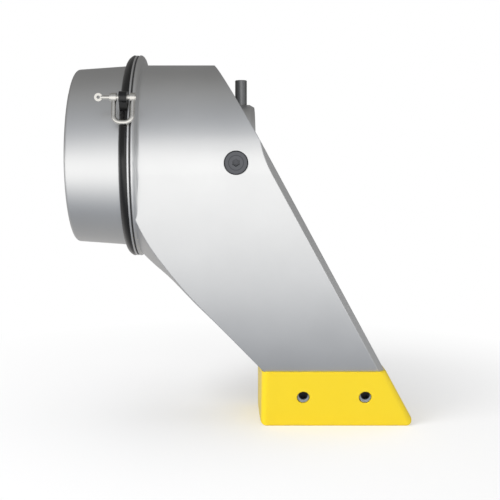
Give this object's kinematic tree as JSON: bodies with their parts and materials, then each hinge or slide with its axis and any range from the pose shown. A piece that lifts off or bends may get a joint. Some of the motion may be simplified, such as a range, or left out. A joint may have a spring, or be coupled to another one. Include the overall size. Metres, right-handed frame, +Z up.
{
  "type": "torque multiplier head with reaction arm",
  "caption": "Planetary torque multiplier head with square output drive, swivelling tether ring and shackle, and a cranked reaction arm ending in a yellow foot pad.",
  "frame": {"origin": "on the drive axis at the nose's front face, where the output drive opens", "axes": "+X along the drive axis, out of the output drive; +Z up, away from the foot; +Y to the side away from the shackle"},
  "size_m": [0.2568, 0.1586, 0.2838],
  "materials": {
    "case_nickel": "satin turned",
    "cover_steel": "satin turned",
    "arm_silver": "fine satin",
    "black_screw": "black oxide",
    "gear_steel": "ground, oiled",
    "black_gasket": "matt",
    "black_ring": "satin black",
    "stainless": "polished",
    "yellow_pad": "semi gloss",
    "black_rubber": "matt",
    "bronze": "machined",
    "bearing_steel": "ground",
    "spring_steel": "drawn",
    "button_steel": "satin"
  },
  "bodies": {
    "housing": {"gear_case": "case_nickel", "rear_cover": "cover_steel", "cover_screws": "black_screw", "ring_gear": "gear_steel", "nose_housing": "arm_silver", "nose_screws": "black_screw", "flange_gasket": "black_gasket", "reaction_arm": "arm_silver", "side_screws": "black_screw", "foot_pad": "yellow_pad", "pad_screws": "black_screw", "input_seal": "black_rubber", "input_bearing_outer": "bearing_steel", "rear_bearing_outer": "bearing_steel", "front_bearing_outer": "bearing_steel", "front_spacer": "gear_steel", "output_seal": "black_rubber", "button_bush": "bronze", "button_spring": "spring_steel"},
    "output": {"output_carrier": "gear_steel", "carrier_plate": "gear_steel", "planet_pins": "gear_steel", "pilot_bush": "bronze", "rear_bearing_inner": "bearing_steel", "rear_bearing_balls": "bearing_steel", "front_bearing_inner": "bearing_steel", "front_bearing_balls": "bearing_steel", "spindle_lock_ring": "spring_steel"},
    "input": {"input_shaft": "gear_steel", "input_bearing_inner": "bearing_steel", "input_bearing_balls": "bearing_steel"},
    "planet_1": {"planet_gear_1": "gear_steel", "planet_bush_1": "bronze"},
    "planet_2": {"planet_gear_2": "gear_steel", "planet_bush_2": "bronze"},
    "planet_3": {"planet_gear_3": "gear_steel", "planet_bush_3": "bronze"},
    "tether_ring": {"tether_ring": "black_ring"},
    "shackle": {"shackle_bow": "stainless", "shackle_pin": "stainless"},
    "button": {"release_button": "button_steel"}
  },
  "joints": [
    {"name": "output_turn", "type": "hinge", "parent": "housing", "child": "output", "pos_m": [0, 0, 0], "axis": [1, 0, 0], "continuous": true},
    {"name": "input_turn", "type": "hinge", "parent": "housing", "child": "input", "pos_m": [0, 0, 0], "axis": [1, 0, 0], "continuous": true},
    {"name": "planet_1_turn", "type": "hinge", "parent": "output", "child": "planet_1", "pos_m": [0, 0, 0.03], "axis": [1, 0, 0], "continuous": true},
    {"name": "planet_2_turn", "type": "hinge", "parent": "output", "child": "planet_2", "pos_m": [0, -0.02598, -0.015], "axis": [1, 0, 0], "continuous": true},
    {"name": "planet_3_turn", "type": "hinge", "parent": "output", "child": "planet_3", "pos_m": [0, 0.02598, -0.015], "axis": [1, 0, 0], "continuous": true},
    {"name": "tether_swivel", "type": "hinge", "parent": "housing", "child": "tether_ring", "pos_m": [-0.095, 0, 0], "axis": [1, 0, 0], "continuous": true},
    {"name": "shackle_swing", "type": "hinge", "parent": "tether_ring", "child": "shackle", "pos_m": [-0.0945, -0.07407, 0.04005], "axis": [-1, 0, 0], "range_deg": [0, 150]},
    {"name": "button_press", "type": "slide", "parent": "housing", "child": "button", "axis": [0, 0, -1], "range_m": [0, 0.002], "stiffness_N_per_m": 600, "deforming": ["button_spring"]}
  ],
  "couplings": [
    {"joint": "input_turn", "follows": "output_turn", "ratio": 5},
    {"joint": "planet_1_turn", "follows": "output_turn", "ratio": -2.6667},
    {"joint": "planet_2_turn", "follows": "output_turn", "ratio": -2.6667},
    {"joint": "planet_3_turn", "follows": "output_turn", "ratio": -2.6667}
  ]
}
